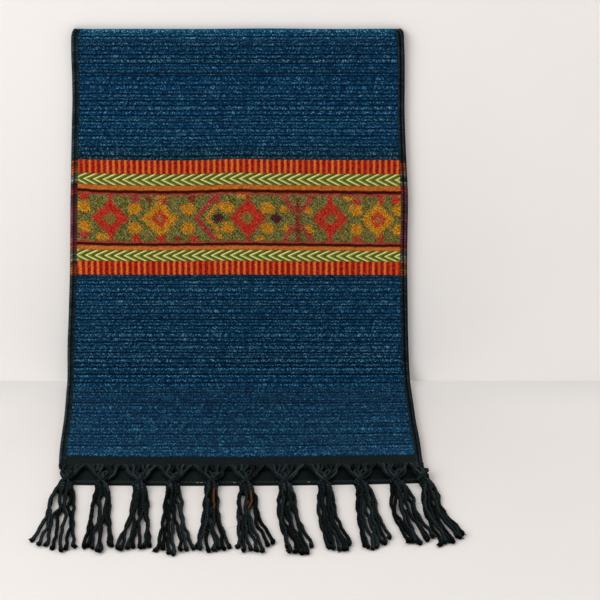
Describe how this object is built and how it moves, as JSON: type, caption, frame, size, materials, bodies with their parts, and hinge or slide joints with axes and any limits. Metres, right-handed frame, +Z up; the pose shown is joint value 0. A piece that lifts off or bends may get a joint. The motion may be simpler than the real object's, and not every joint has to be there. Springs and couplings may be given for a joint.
{
  "type": "folded muffler scarf",
  "caption": "Hand-woven muffler scarf with a patterned band and knotted fringe, folded over, hanging down and laid out flat at its foot.",
  "frame": {"origin": "middle of the footprint, on the ground that the lower end lies on", "axes": "+Z up, +X to the scarf's right as it is faced, +Y from the fringe towards the hanging part; the scarf faces -Y"},
  "size_m": [0.3466, 0.3322, 0.3282],
  "materials": {
    "blue_ground": "matte ribbed weave, blue with lighter flecks",
    "orange_stripe": "upright ribs in orange and dark red",
    "green_braid": "chevron braid in cream and green",
    "ochre_line": "plain lines in ochre, maroon and red",
    "motif_field": "woven diamonds in red and gold on mottled green",
    "black_end": "matte plain weave, black with a green cast",
    "black_border": "rolled and oversewn edge",
    "black_fringe": "twisted wool cord, slightly hairy"
  },
  "bodies": {
    "root": {"front_upper_panel": "blue_ground", "front_band_1_stripe": "orange_stripe", "front_band_2_braid": "green_braid", "front_band_3_line": "ochre_line", "front_band_4_motifs": "motif_field", "front_band_5_line": "ochre_line", "front_band_6_braid": "green_braid", "front_band_7_stripe": "orange_stripe", "front_lower_panel": "blue_ground", "front_end_strip": "black_end", "front_border_left": "black_border", "front_border_right": "black_border", "back_upper_panel": "blue_ground", "back_band_1_stripe": "orange_stripe", "back_band_2_braid": "green_braid", "back_band_3_line": "ochre_line", "back_band_4_motifs": "motif_field", "back_band_5_line": "ochre_line", "back_band_6_braid": "green_braid", "back_band_7_stripe": "orange_stripe", "back_lower_panel": "blue_ground", "back_end_strip": "black_end", "back_border_left": "black_border", "back_border_right": "black_border", "tassel_01": "black_fringe", "tassel_02": "black_fringe", "tassel_03": "black_fringe", "tassel_04": "black_fringe", "tassel_05": "black_fringe", "tassel_06": "black_fringe", "tassel_07": "black_fringe", "tassel_08": "black_fringe", "tassel_09": "black_fringe", "tassel_10": "black_fringe", "tassel_11": "black_fringe"}
  },
  "joints": []
}
